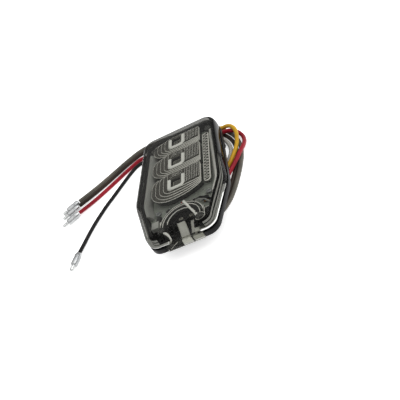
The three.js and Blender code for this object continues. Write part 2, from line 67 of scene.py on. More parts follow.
# The plan outline: each corner's place and radius, anticlockwise from the near right. The two
# side corners are rounded off, so their points stand a little outside the housing's box.
SIDE_CORNER_Y = -14
SIDE_CORNER_REACH = 1.0118
CORNERS = [
    (20.5, -HALF_LENGTH, 8),
    (HOUSING_HIGH[0] * SIDE_CORNER_REACH, SIDE_CORNER_Y, 30),
    (27, HALF_LENGTH, 9),
    (-27, HALF_LENGTH, 9),
    (HOUSING_LOW[0] * SIDE_CORNER_REACH, SIDE_CORNER_Y, 30),
    (-20.5, -HALF_LENGTH, 8),
]

# ---- camera
AZIMUTH, ELEVATION, ROLL = (math.radians(a) for a in (21.5, 34, 35.7))
LOOKED_AT = Vector((0, 0, 0.010))
DISTANCE = 0.380
FOCAL_LENGTH = 55.1
SHIFT = (0.0319, -0.0293)


def place_camera():
    """The photograph's viewpoint: right of the near end, from above, with the camera rolled."""
    data = bpy.data.cameras.new("camera")
    data.lens = FOCAL_LENGTH
    data.sensor_width = 36
    data.shift_x, data.shift_y = SHIFT
    data.clip_start, data.clip_end = 0.01, 20
    camera = add_object("camera", data)
    back = Matrix.Rotation(AZIMUTH, 3, "Z") @ Vector((0, -math.cos(ELEVATION), math.sin(ELEVATION)))
    facing = back.to_track_quat("Z", "Y").to_matrix().to_4x4() @ Matrix.Rotation(-ROLL, 4, "Z")
    camera.matrix_world = Matrix.Translation(LOOKED_AT + back * DISTANCE) @ facing
    bpy.context.scene.camera = camera


place_camera()


# ---- materials
PLASTIC_IOR = 1.49
EVEN = (1, 1, 1)  # grain that isn't stretched along any axis


def linear(colour):
    """An sRGB colour, as 0xRRGGBB, to linear RGBA."""
    def channel(v):
        v /= 255
        return v / 12.92 if v <= 0.04045 else ((v + 0.055) / 1.055) ** 2.4
    return (*[channel(colour >> shift & 255) for shift in (16, 8, 0)], 1)


class Finish:
    """A new material, with short ways to add nodes to it."""

    def __init__(self, name):
        self.material = bpy.data.materials.new(name)
        self.material.use_nodes = True
        self.nodes = self.material.node_tree.nodes
        self.shader = self.nodes["Principled BSDF"]

    def feed(self, node, inputs):
        """Gives each input of a node a value, or an output of another node."""
        for key, value in inputs.items():
            if isinstance(value, bpy.types.NodeSocket):
                self.material.node_tree.links.new(value, node.inputs[key])
            else:
                node.inputs[key].default_value = value

    def add(self, kind, inputs, output=0, **settings):
        node = self.nodes.new("ShaderNode" + kind)
        for key, value in settings.items():
            setattr(node, key, value)
        self.feed(node, inputs)
        return node.outputs[output]

    def noise(self, scale, detail, stretch):
        """Object-space noise, stretched along the axes."""
        place = self.add("TexCoord", {}, "Object")
        mapped = self.add("Mapping", {"Vector": place, "Scale": stretch}, "Vector")
        return self.add("TexNoise", {"Vector": mapped, "Scale": scale, "Detail": detail}, "Fac")

    def ramp(self, factor, low, high):
        node = self.nodes.new("ShaderNodeValToRGB")
        for element, position, colour in zip(node.color_ramp.elements, (0.35, 0.65), (low, high)):
            element.position = position
            element.color = linear(colour)
        self.feed(node, {"Fac": factor})
        return node.outputs["Color"]

    def spread(self, factor, low, high):
        return self.add("MapRange", {"Value": factor, "To Min": low, "To Max": high}, "Result")

    def grain(self, height, strength, distance):
        bump = self.add("Bump", {"Strength": strength, "Distance": distance, "Height": height}, "Normal")
        self.feed(self.shader, {"Normal": bump})


def solid(name, dark, light, rough, scale, bump=0.2, depth=0.00005, metal=0, stretch=EVEN, specular=0.5):
    """A solid finish: mottled colour, uneven gloss and a fine surface grain."""
    finish = Finish(name)
    broad = finish.noise(scale * 0.12, 2, stretch)
    fine = finish.noise(scale, 4, stretch)
    finish.feed(finish.shader, {
        "Base Color": finish.ramp(broad, dark, light),
        "Roughness": finish.spread(fine, *rough),
        "Metallic": metal,
        "Specular IOR Level": specular,
    })
    finish.grain(fine, bump, depth)
    return finish.material


def clear(name, tint, body, cover, rough, edge=0.5, scale=300, streak=EVEN, uneven=0, specular=0.5):
    """Clear plastic: what is behind shows through, with its own haze and gloss on top.
    cover is how solid it is seen straight on, and edge how much more at a glancing angle."""
    finish = Finish(name)
    fine = finish.noise(scale, 3, streak)
    finish.feed(finish.shader, {
        "Base Color": linear(body),
        "IOR": PLASTIC_IOR,
        "Specular IOR Level": specular,
        "Roughness": finish.spread(fine, *rough),
    })
    finish.grain(fine, 0.05, 0.00002)
    through = finish.add("BsdfTransparent", {"Color": linear(tint)})
    glance = finish.add("LayerWeight", {"Blend": 0.5}, "Facing")
    steep = finish.add("Math", {0: glance, 1: 3.5}, operation="POWER")
    straight_on = finish.spread(fine, cover - uneven, cover + uneven) if uneven else cover
    amount = finish.add("Math", {0: steep, 1: edge, 2: straight_on}, operation="MULTIPLY_ADD", use_clamp=True)
    mixed = finish.add("MixShader", {0: amount, 1: through, 2: finish.shader.outputs[0]})
    finish.feed(finish.nodes["Material Output"], {"Surface": mixed})
    return finish.material


BLACK = solid("housing_black", 0x030304, 0x0a0a0b, (0.3, 0.46), 900, 0.3, specular=0.16)
BEZEL = solid("bezel_black", 0x030304, 0x09090a, (0.22, 0.36), 700, 0.15, specular=0.15)
HOOD = solid("hood_black", 0x020203, 0x080809, (0.16, 0.32), 800, 0.3, specular=0.25)
SEAL = solid("seal_rubber", 0x101010, 0x1b1b1b, (0.7, 0.9), 1200, 0.4, specular=0.2)
REFLECTOR = solid("reflector_satin", 0x868785, 0xa0a19e, (0.28, 0.45), 260, 0.1, stretch=(3, 0.4, 1))
# Lengthwise streaks from dark grey to near white on the right band: painted reflection streaks.
PAINTED_STREAK_BAND = solid("band_painted_streaks", 0x5a5a58, 0xf5f5f1, (0.2, 0.4), 1500, 0.1, stretch=(1, 0.05, 1))
BAR = solid("bar_pale", 0xa0a09b, 0xc8c8c2, (0.25, 0.4), 500, 0.2)
TAB = solid("tab_grey", 0x969795, 0xb8b9b6, (0.25, 0.4), 500, 0.2)
MASK = solid("board_mask", 0x686d67, 0x8c918a, (0.35, 0.5), 420, 0.3)
TRACK = solid("board_track", 0x7c827a, 0x969c92, (0.3, 0.45), 420, 0.2)
PACKAGE = solid("led_package", 0x78766e, 0x98968d, (0.4, 0.6), 900, 0.2)
PHOSPHOR = solid("led_phosphor", 0x68665c, 0x8c897c, (0.35, 0.5), 1500, 0.3)
CHIP = solid("chip_black", 0x141415, 0x242425, (0.5, 0.7), 1500, 0.4, specular=0.3)
STEEL = solid("screw_steel", 0x96989a, 0xbec0c2, (0.22, 0.42), 900, 0.2, metal=1)
BRASS = solid("insert_brass", 0xa67c3c, 0xc89e58, (0.2, 0.4), 700, 0.2, metal=1)
TIN = solid("connector_tin", 0xb0b2b2, 0xd4d5d4, (0.18, 0.34), 600, 0.2, metal=1)
GROMMET = solid("grommet_rubber", 0x141414, 0x212121, (0.6, 0.85), 900, 0.5, specular=0.2)
VENT = solid("vent_cloth", 0xa8aaa8, 0xcecfcd, (0.7, 0.9), 2600, 0.8)
SLEEVE = solid("connector_sleeve", 0x969899, 0xbcbdbd, (0.25, 0.4), 700, 0.2, metal=1)
SILVER = solid("solder", 0xaaabac, 0xd4d5d5, (0.2, 0.35), 1200, 0.3, metal=1)

LENS = clear("lens_clear", 0xececea, 0x787876, 0.02, (0.03, 0.08), edge=0.5)
LENS_SIDE = clear("lens_side", 0xbabab7, 0x282827, 0.12, (0.04, 0.1), edge=0.3, specular=0.3)
LENS_EDGE = clear("lens_edge", 0x8a8a88, 0x4a4a48, 0.36, (0.04, 0.1), edge=0.4, specular=0.3)
# Near-black, mostly solid faces of the clear lens on the far right wall and the left wall: painted shade.
LENS_PAINTED_SHADE = clear("lens_painted_shade", 0x30302f, 0x060606, 0.6, (0.05, 0.12), edge=0.3, specular=0.12)
# Near-white, nearly solid faces along the lens foot beside the window: a painted highlight line.
PAINTED_FOOT_GLINT = clear("lens_foot_painted_glint", 0xfafaf8, 0xfafaf7, 0.95, (0.05, 0.12), edge=0.05)
# Near-white, mostly solid streaked faces on the lens ridges and the guides' flutes: painted highlight
# streaks.
PAINTED_RIDGE_STREAK = clear("ridge_painted_streak", 0xfafaf7, 0xfcfcf8, 0.85, (0.06, 0.14), edge=0.2, scale=500,
              streak=(1, 0.12, 1), uneven=0.15)
GUIDE = clear("guide_clear", 0x969693, 0x222221, 0.6, (0.06, 0.16), edge=0.4, scale=500,
              streak=(1, 0.15, 1), uneven=0.2)
OPTIC = clear("optic_clear", 0xb4b3ae, 0x686660, 0.5, (0.06, 0.16), edge=0.35, uneven=0.08)
# Dark, mostly solid faces on the optics' foot walls and round each LED: painted shade between the blocks.
OPTIC_PAINTED_SHADE = clear("optic_side_painted_shade", 0x6e6d6a, 0x2c2c2a, 0.6, (0.08, 0.16), edge=0.3)
# Near-white, nearly solid lines on the optics' edges and crests, the strip's rim and ribs, the window's edge,
# the hood's beads and the near corner's ring and rim: painted highlights.
EDGE_PAINTED_HIGHLIGHT = clear("edge_painted_highlight", 0xf4f4f0, 0xfcfbf6, 0.92, (0.08, 0.16), edge=0.1, uneven=0.1)
# Almost white and solid: the brightest painted highlights, on the U round each LED, the ribs' ends, the left
# bar's tongue, the hood's flash and the near corner's hook and post cap.
PAINTED_HIGHLIGHT = clear("bright_painted_highlight", 0xfefefc, 0xfefefb, 0.96, (0.06, 0.14), edge=0.04)
POST_CLEAR = clear("post_clear", 0xb0b0ad, 0x686866, 0.4, (0.08, 0.15), edge=0.5)
WINDOW = clear("window_clear", 0xe8e8e5, 0x60605e, 0.04, (0.05, 0.12), edge=0.35)
# Pale grey, half solid faces low on the near left wall of the clear lens: a painted reflection.
LENS_PAINTED_REFLECTION = clear("lens_painted_reflection", 0x787876, 0x969693, 0.4, (0.04, 0.1), edge=0.5)

WIRE_COLOURS = {
    "grey": (0x4e4b44, 0x625e56),
    "brown": (0x221b15, 0x30261f),
    "red": (0x760e1c, 0x921828),
    "yellow": (0xaa8014, 0xc29828),
    "white": (0x9e9b93, 0xbcb9b1),
    "black": (0x070707, 0x0e0e0e),
}
WIRE_FINISH = {
    name: solid("insulation_" + name, dark, light, (0.34, 0.5), 500, 0.25, 0.00006, specular=0.16)
    for name, (dark, light) in WIRE_COLOURS.items()
}


# ---- mesh building
def mix(a, b, share):
    return a + (b - a) * share


def at(points, z):
    """Plan points (x, y) at one height."""
    return [(x, y, z) for x, y in points]


def arc(cx, cy, radius, start, end, steps=8):
    """An arc between two angles in degrees, as (x, y)."""
    angles = [math.radians(mix(start, end, k / steps)) for k in range(steps + 1)]
    return [(cx + radius * math.cos(a), cy + radius * math.sin(a)) for a in angles]


def circle(radius, sides):
    """Points of a circle about the origin, as (x, y)."""
    angles = [2 * math.pi * k / sides for k in range(sides)]
    return [(radius * math.cos(a), radius * math.sin(a)) for a in angles]


def bead(width, crest, height, foot=0):
    """The section of a bead: half width at its foot and at its crest, and the height of each."""
    return [(-width, foot), (-crest, height), (crest, height), (width, foot)]


class Shape:
    """Collects vertices in millimetres, faces and their material numbers."""

    def __init__(self):
        self.verts = []
        self.faces = []
        self.marks = []

    def stack(self, rings, closed_loop=False, mark=0, marks=None):
        """Faces between rings of equal counts, with an end cap on each end, or round and round.
        mark is the material number of every face, and marks one for each span instead."""
        count = len(rings[0])
        start = len(self.verts)
        self.verts.extend(p for ring in rings for p in ring)
        spans = len(rings) if closed_loop else len(rings) - 1
        for r in range(spans):
            low = start + r * count
            high = start + ((r + 1) % len(rings)) * count
            for i in range(count):
                j = (i + 1) % count
                self.faces.append((low + i, low + j, high + j, high + i))
                self.marks.append(marks[r] if marks else mark)
        if not closed_loop:
            last = start + (len(rings) - 1) * count
            self.faces.append(tuple(start + i for i in reversed(range(count))))
            self.faces.append(tuple(last + i for i in range(count)))
            self.marks.extend([0, marks[-1]] if marks else [mark, mark])

    def block(self, x0, y0, z0, x1, y1, z1, mark=0):
        plan = [(x0, y0), (x1, y0), (x1, y1), (x0, y1)]
        self.stack([at(plan, z0), at(plan, z1)], mark=mark)

    def turned(self, x, y, profile, sides=40, mark=0):
        """A closed turned solid on an upright axis. profile is (radius, z) from the bottom up."""
        self.stack([[(x + u, y + v, z) for u, v in circle(r, sides)] for r, z in profile], mark=mark)

    def sweep(self, path, section, mark=0, marks=None):
        """A bar along a path of (x, y, z). section is a loop of (offset to the left, height), and
        marks gives a material number for each of its sides."""
        loops = []
        for index, (x, y, z) in enumerate(path):
            before, after = path[max(index - 1, 0)], path[min(index + 1, len(path) - 1)]
            along = Vector((after[0] - before[0], after[1] - before[1])).normalized()
            loops.append([(x - along.y * o, y + along.x * o, z + h) for o, h in section])
        start = len(self.faces)
        self.stack(loops, mark=mark)
        if marks:
            for index in range(start, len(self.faces)):
                self.marks[index] = marks[(index - start) % len(section)]

    def tube(self, path, radii, mark=0):
        """A round bar along any path, with its own radius at each point."""
        loops = []
        for index, (point, radius) in enumerate(zip(path, radii)):
            before, after = Vector(path[max(index - 1, 0)]), Vector(path[min(index + 1, len(path) - 1)])
            along = (after - before).normalized()
            side = along.cross(Vector((0, 0, 1))).normalized()
            lift = side.cross(along)
            loops.append([tuple(Vector(point) + u * side + v * lift) for u, v in circle(radius, 12)])
        self.stack(loops, mark=mark)


def soften(obj, bevel, angle):
    """Rounds the edges sharper than angle."""
    rounding = obj.modifiers.new("rounding", "BEVEL")
    rounding.width = bevel * MM
    rounding.segments = 2
    rounding.limit_method = "ANGLE"
    rounding.angle_limit = math.radians(angle)
    return rounding


def make(name, shape, materials, stands_for=(), bevel=0, angle=40):
    """Turns a Shape into a piece of the object, with its normals facing outwards."""
    mesh = bpy.data.meshes.new(name)
    mesh.from_pydata([[v * MM for v in p] for p in shape.verts], [], shape.faces)
    for material in materials:
        mesh.materials.append(material)
    mesh.polygons.foreach_set("material_index", shape.marks)
    mesh.validate()
    editable = bmesh.new()
    editable.from_mesh(mesh)
    bmesh.ops.recalc_face_normals(editable, faces=editable.faces)
    editable.to_mesh(mesh)
    editable.free()
    mesh.polygons.foreach_set("use_smooth", [True] * len(mesh.polygons))
    mesh.set_sharp_from_angle(angle=math.radians(angle))
    obj = add_object(name, mesh)
    if bevel:
        soften(obj, bevel, angle)
    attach(obj, "root")
    if stands_for:
        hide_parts(*stands_for)
    return obj


def finish_cad(node, material, bevel):
    """A CAD node shown as it is, with a real material and softened edges."""
    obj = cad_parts[node]
    obj.data.materials.clear()
    obj.data.materials.append(material)
    weld = obj.modifiers.new("weld", "WELD")
    weld.merge_threshold = 0.00001
    soften(obj, bevel, 32).harden_normals = True
    obj.data.polygons.foreach_set("use_smooth", [True] * len(obj.data.polygons))


# ---- plan outline
CORNER_STEPS = 14
SIDE_POINTS = 9  # extra points along each straight side, for what changes along it


def outline(inset, between=0):
    """The plan outline moved inwards, anticlockwise from the near right corner, with some points
    between the rounded corners."""
    count = len(CORNERS)
    arcs = []
    for i, (cx, cy, radius) in enumerate(CORNERS):
        here = Vector((cx, cy))
        before = (here - Vector(CORNERS[i - 1][:2])).normalized()
        after = (Vector(CORNERS[(i + 1) % count][:2]) - here).normalized()
        half = math.acos(max(-1, min(1, before.dot(after)))) / 2
        inward = Vector((-before.y - after.y, before.x + after.x)).normalized()
        rounded = max(radius - inset, 0.5)
        centre = here + inward * (inset / math.cos(half)) + inward * (rounded / math.cos(half))
        middle = math.atan2(-inward.y, -inward.x)
        angles = [middle - half + 2 * half * k / CORNER_STEPS for k in range(CORNER_STEPS + 1)]
        arcs.append([(centre.x + rounded * math.cos(a), centre.y + rounded * math.sin(a)) for a in angles])
    points = []
    for here, following in zip(arcs, arcs[1:] + arcs[:1]):
        points.extend(here)
        (x0, y0), (x1, y1) = here[-1], following[0]
        for k in range(1, between + 1):
            share = k / (between + 1)
            points.append((mix(x0, x1, share), mix(y0, y1, share)))
    return points


def ring(inset, z, between=0):
    return at(outline(inset, between), z)


def side_x(inset, y):
    """Half width of the outline at a place along the unit."""
    points = [p for p in outline(inset) if p[0] > 0]
    points.sort(key=lambda p: p[1])
    for (x0, y0), (x1, y1) in zip(points, points[1:]):
        if y0 <= y <= y1 and y1 > y0:
            return mix(x0, x1, (y - y0) / (y1 - y0))
    return points[0][0] if y < points[0][1] else points[-1][0]


def round_rectangle(x0, y0, x1, y1, far_radius, near_radius, steps=10):
    """Anticlockwise from the near right; the two near corners have their own radius."""
    corners = [
        (x1 - near_radius, y0 + near_radius, near_radius),
        (x1 - far_radius, y1 - far_radius, far_radius),
        (x0 + far_radius, y1 - far_radius, far_radius),
        (x0 + near_radius, y0 + near_radius, near_radius),
    ]
    return [p for k, corner in enumerate(corners) for p in arc(*corner, 90 * k - 90, 90 * k, steps)]


def rounded_rings(x0, y0, x1, y1, levels, radius, steps):
    """Rings of a block with rounded corners; levels is (inset, z)."""
    return [
        at(round_rectangle(x0 + i, y0 + i, x1 - i, y1 - i, radius, radius, steps), z) for i, z in levels
    ]


# ---- wires
# The routes from the grommet to each connector, in metres, each a given list of points.
ROUTES = {
    "grey": [
        (-.0033, -.0098, .0066), (-.0033, -.0135, .006), (-.002, -.019, .0036), (.0025, -.024, .0018),
        (.0095, -.0263, .0015), (.0172, -.0242, .0015), (.0234, -.0176, .0015), (.0276, -.0088, .0015),
        (.031, .0016, .0015), (.0336, .012, .0015), (.0352, .022, .0015), (.0352, .032, .0015),
        (.033, .042, .0015), (.0284, .0516, .0015), (.0212, .0614, .0015), (.011, .0694, .0015),
        (-.001, .0748, .0015), (-.014, .0776, .0015), (-.028, .0794, .0015), (-.0429, .079, .0015),
        (-.0532, .0744, .0015), (-.0624, .0687, .0015), (-.0716, .0627, .0015), (-.0823, .056, .0017),
        (-.0945, .0484, .0025),
    ],
    "brown": [
        (0, -.0098, .0034), (0, -.0135, .0031), (.0015, -.018, .002), (.005, -.0214, .0015),
        (.0105, -.023, .0015), (.0162, -.0209, .0015), (.0208, -.0156, .0015), (.0246, -.0073, .0015),
        (.0279, .0026, .0015), (.0305, .0126, .0015), (.032, .0223, .0015), (.032, .0316, .0015),
        (.03, .0408, .0015), (.0256, .0498, .0015), (.0189, .059, .0015), (.0094, .0664, .0015),
        (-.002, .0714, .0015), (-.015, .0742, .0015), (-.0285, .0754, .0015), (-.0425, .0742, .0015),
        (-.0528, .0695, .0015), (-.0619, .0636, .0015), (-.071, .0574, .0015), (-.0815, .0507, .0017),
        (-.0935, .043, .0025),
    ],
    "red": [
        (0, -.0098, .0066), (.0001, -.0132, .0065), (.0031, -.0178, .0057), (.0084, -.019, .0047),
        (.0138, -.016, .004), (.0186, -.008, .0036), (.0234, 0, .0042), (.0284, .0074, .0048),
        (.0322, .0142, .0049), (.0356, .0214, .0048), (.0379, .0296, .003), (.0383, .0374, .0017),
        (.0364, .0442, .0018), (.0338, .0468, .0036), (.0306, .0482, .005), (.0243, .0504, .0048),
        (.0196, .0518, .0046), (.0145, .0528, .003), (.008, .0534, .0016), (0, .054, .0015),
        (-.01, .0554, .0015), (-.02, .0588, .0015), (-.031, .0644, .0015), (-.0423, .0676, .0015),
        (-.0522, .0624, .0015), (-.0612, .056, .0015), (-.07, .0496, .0015), (-.0804, .0424, .0017),
        (-.0922, .0346, .0025),
    ],
    "yellow": [
        (.0033, -.0098, .0066), (.0034, -.0124, .0065), (.0058, -.0153, .006), (.0096, -.0152, .0054),
        (.013, -.0116, .0048), (.0164, -.0044, .0046), (.0198, .003, .0047), (.0236, .0082, .0048),
        (.0276, .0136, .0049), (.031, .021, .0049), (.0336, .029, .0049), (.0346, .0364, .0052),
        (.0348, .042, .0058), (.0336, .047, .0069), (.0298, .0522, .0066), (.0252, .055, .0052),
        (.0206, .0574, .005), (.0156, .059, .0048), (.0104, .0612, .0034), (.004, .0636, .0016),
        (-.004, .0652, .0015), (-.011, .0664, .0025),
    ],
    "white": [
        (.0033, -.0098, .0034), (.0034, -.0123, .0032), (.0058, -.015, .0022), (.0094, -.015, .0016),
        (.0126, -.0114, .0015), (.0158, -.0044, .0015), (.019, .004, .0015), (.0228, .0135, .0015),
        (.026, .022, .0015), (.0282, .0305, .0015), (.0275, .0378, .0015), (.0244, .0456, .0015),
        (.0204, .0516, .0015), (.0154, .0564, .0015), (.0098, .058, .0018), (.0056, .0584, .0025),
    ],
    "black": [
        (-.0033, -.0098, .0034), (-.0037, -.0124, .0032), (-.0068, -.0154, .0022), (-.0116, -.0152, .0015),
        (-.016, -.0114, .0014), (-.019, -.004, .0014), (-.0215, .006, .0014), (-.024, .018, .0014),
        (-.027, .031, .0014), (-.0305, .044, .0014), (-.0336, .0536, .0014), (-.0372, .0598, .0014),
        (-.0414, .0626, .0014), (-.0464, .0608, .0014), (-.0507, .0564, .0014), (-.0559, .0494, .0014),
        (-.0603, .043, .0014), (-.0644, .037, .0014), (-.0683, .0316, .0014), (-.0726, .0244, .0014),
        (-.0764, .0174, .0014), (-.0802, .009, .0014), (-.0832, 0, .0017), (-.0856, -.0082, .0023),
    ],
}
WIRE = 0.0028
THIN_WIRE = 0.0026
CONNECTOR_GAP = 0.0004
CONNECTOR_SIDES = 32


def connector(colour, route, diameter):
    """A crimped bullet terminal with its sleeve, in line with the end of a wire. The profile is
    (radius, distance from the wire)."""
    end = Vector(route[-1])
    along = end - Vector(route[-2])
    along.z = 0
    along.normalize()
    wire = diameter / 2 / MM
    profile = [
        (0.3, 0), (wire + 0.2, 0), (wire + 0.4, 0.15), (2.15, 1.55), (2.26, 1.8), (2.26, 3.4),
        (2.02, 3.7), (2.02, 4.3), (2.26, 4.6), (2.26, 9.1), (2.1, 9.7), (1.85, 9.95), (1.4, 10),
        (1.4, 10.6), (1.22, 10.8), (1.22, 11.3), (1.46, 11.6), (1.46, 13.2), (1.2, 14.1), (0.7, 14.5),
        (0.2, 14.56),
    ]
    sleeve_end = 12
    shape = Shape()
    rings = [at(circle(r, CONNECTOR_SIDES), z) for r, z in profile]
    shape.stack(rings, marks=[0 if i < sleeve_end else 1 for i in range(len(profile) - 1)])
    turn = Vector((0, 0, 1)).rotation_difference(along).to_matrix()
    start = (end + along * CONNECTOR_GAP) / MM
    shape.verts = [tuple(start + turn @ Vector(p)) for p in shape.verts]
    name, node = "bullet_connector_" + colour, "connector_" + colour
    return make(name, shape, [SLEEVE, TIN], [node], angle=30)


def lead(colour, route):
    """One insulated wire as a round cord on a smooth curve through its route."""
    diameter = THIN_WIRE if colour == "black" else WIRE
    curve = bpy.data.curves.new("lead_" + colour, "CURVE")
    curve.dimensions = "3D"
    spline = curve.splines.new("BEZIER")
    spline.bezier_points.add(len(route) - 1)
    for point, place in zip(spline.bezier_points, route):
        point.co = place
        point.handle_left_type = point.handle_right_type = "AUTO"
    spline.resolution_u = 10
    curve.bevel_depth = diameter / 2
    curve.bevel_resolution = 5
    curve.use_fill_caps = True
    curve.materials.append(WIRE_FINISH[colour])
    obj = add_object("lead_" + colour, curve)
    end = connector(colour, route, diameter)
    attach(obj, "root")
    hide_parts("wire_" + colour)


for colour, route in ROUTES.items():
    lead(colour, route)


# ---- outer shells
def lens_shell():
    """The clear cap: walls with a slight draft, a broad soft edge, a slightly crowned top, and
    lengthwise ridges inside the near half of both side walls. Each face has its look by where it is,
    for what shows through the walls: painted highlight streaks on the ridges, a painted highlight
    line along the foot beside the window, painted shade on the far right wall and the left wall,
    and a painted reflection low on the near left."""
    foot, top = LENS_LOW[2], LENS_HIGH[2]
    inner = [(14, 22.35), (9, 22.3), (5.2, 22.2), (4, 22), (3.2, 21.5), (2.75, 20.8)]
    outer = [
        (0.45, foot), (0.2, foot + 0.12), (0.15, foot + 0.4), (0.17, foot + 1.1), (0.19, foot + 2.2),
        (0.35, 19.3), (0.55, 20.6), (0.85, 21.7), (1.3, 22.5), (1.9, 23.1), (2.7, 23.6), (3.8, 23.9),
        (5.5, 24.08), (9, 24.2), (14, top - 0.06),
    ]
    ridge_top, ridge_drop, ridge_count, ridge_depth = 20.5, 4.3, 7, 0.42
    ridges_start, ridges_end, fade = 10, -46, 6
    window_left, window_right = -9.5, 12
    looks = [LENS, LENS_SIDE, PAINTED_RIDGE_STREAK, PAINTED_FOOT_GLINT, LENS_EDGE, LENS_PAINTED_SHADE, LENS_PAINTED_REFLECTION]

    def ridge_ring(index):
        inset = 2.55 - 0.25 * index / ridge_count
        tooth = ridge_depth * (index % 2)
        points = []
        plain, proud = (outline(inset + extra, between=SIDE_POINTS) for extra in (0, tooth))
        for (x, y), (u, v) in zip(plain, proud):
            share = min(1, max(0, (ridges_start - y) / fade)) * min(1, max(0, (y - ridges_end) / fade))
            spread_out = mix(0.5, 1, min(1, max(0, (8 - y) / 34)))
            z = ridge_top - ridge_drop * index / (ridge_count - 1) * spread_out
            sway = 0.1 * math.sin(0.2 * y + 0.9 * index) * share
            points.append((mix(x, u, share), mix(y, v, share), z + sway))
        return points

    shape = Shape()
    rings = [ring(i, z, between=SIDE_POINTS) for i, z in inner]
    first_ridge = len(rings)
    rings += [ridge_ring(index) for index in range(ridge_count)]
    last_ridge = len(rings) - 1
    rings += [ring(i, z, between=SIDE_POINTS) for i, z in [(2.2, foot + 0.15), (2, foot)] + outer]
    shape.stack(rings)
    count = len(rings[0])
    for index, face in enumerate(shape.faces):
        span = index // count
        corners = [shape.verts[v] for v in face]
        x, y, z = (sum(c[a] for c in corners) / len(corners) for a in range(3))
        beside_window = x > window_right or x < window_left
        # How high the painted highlight line along the foot reaches.
        glint_height = 0.8 if x > window_right and y < -26 else 0.32
        if len(face) > 4 or z > 23.3 or span < len(inner) - 2 or (y < -44 and not beside_window):
            look = LENS
        # Ridge faces: painted highlight streaks, every third span in the darker side look.
        elif first_ridge <= span < last_ridge and y < 9 and abs(x) > 13:
            look = PAINTED_RIDGE_STREAK if (span - first_ridge) % 3 else LENS_SIDE
        # A painted highlight line along the foot, beside the window.
        elif span > last_ridge and beside_window and y < -19 and z < foot + glint_height:
            look = PAINTED_FOOT_GLINT
        elif (x > 12 and y < 8) or y < -40:
            look = LENS_SIDE
        # Left wall: a painted reflection near the front, painted shade further back.
        elif x < -12 and y < 40 and z < 21:
            look = LENS_PAINTED_REFLECTION if y < -12 else LENS_PAINTED_SHADE
        else:
            # Painted shade on the far right wall.
            look = LENS_PAINTED_SHADE if x > 22 else LENS_EDGE
        shape.marks[index] = looks.index(look)
    make("lens_shell", shape, looks, ["lens_cover"], angle=50)


def seal_bead():
    """The foam seal, clear where it passes in front of the window."""
    low, high = SEAL_LOW[2], SEAL_HIGH[2]
    section = [
        (0.95, low + 0.1), (1.3, low), (1.8, low), (2.08, low + 0.2),
        (2.08, high - 0.2), (1.8, high), (1.3, high), (0.95, high - 0.1),
    ]
    shape = Shape()
    shape.stack([ring(inset, z) for inset, z in section], closed_loop=True)
    for index, face in enumerate(shape.faces):
        corners = [shape.verts[v] for v in face]
        if max(abs(x) for x, _, _ in corners) < 15 and corners[0][1] < -40:
            shape.marks[index] = 1
    make("seal_bead", shape, [SEAL, WINDOW], ["lens_seal"])


def stations(low, high, pitch):
    """Even steps from low to high, about pitch apart."""
    count = max(2, round((high - low) / pitch))
    return [low + (high - low) * k / count for k in range(count + 1)]


def fluted_guide(name, side):
    """The clear light guide of one side: a band with wavy lengthwise flutes on its outer face, one
    flute face in four a painted highlight streak.
    """
    node = "side_light_guide_" + name
    low, high = corner_mm(node)
    inset, thickness, flutes, flute_depth = 3.12, 1.26, 4, 0.34
    shape = Shape()
    loops = []
    for y in stations(low[1] + 0.1, high[1] - 0.1, 1.4):
        loop = []
        for k in range(2 * flutes + 1):
            sway = 0.16 * math.sin(0.21 * y + k) if 0 < k < 2 * flutes else 0
            z = mix(low[2], high[2], k / (2 * flutes)) + sway
            loop.append((side * side_x(inset + flute_depth * (k % 2), y), y, z))
        for z in (high[2], low[2]):
            loop.append((side * side_x(inset + thickness, y), y, z))
        loops.append(loop)
    shape.stack(loops)
    # One flute face in four is a painted highlight streak.
    for index in range(len(shape.faces)):
        shape.marks[index] = 1 if index % len(loops[0]) in range(1, 2 * flutes, 4) else 0
    make("fluted_guide_" + name, shape, [GUIDE, PAINTED_RIDGE_STREAK], [node], angle=25)


lens_shell()
seal_bead()
fluted_guide("right", 1)
fluted_guide("left", -1)
for node, material, slot, bevel in (
    ("rear_housing", BLACK, "housing_plastic", 0.25),
    ("inner_bezel", BEZEL, "bezel_plastic", 0.15),
    ("circuit_board", MASK, "board_mask", 0.08),
    ("plate_light_hood", HOOD, "hood_black", 0.3),
    ("plate_window", WINDOW, "lens_clear", 0.15),
    ("vent_membrane", VENT, "vent_cloth", 0.1),
    ("reflector_left", REFLECTOR, "reflector_satin", 0.3),
    # The right band carries painted reflection streaks.
    ("reflector_right", PAINTED_STREAK_BAND, "reflector_satin", 0.3),
):
    finish_cad(node, material, bevel)
for place in ("near_right", "near_left", "far_right", "far_left"):
    finish_cad("lens_post_" + place, POST_CLEAR, 0.25)
    finish_cad("lens_screw_" + place, STEEL, 0.1)
for number in (1, 2):
    finish_cad("board_screw_%d" % number, STEEL, 0.1)


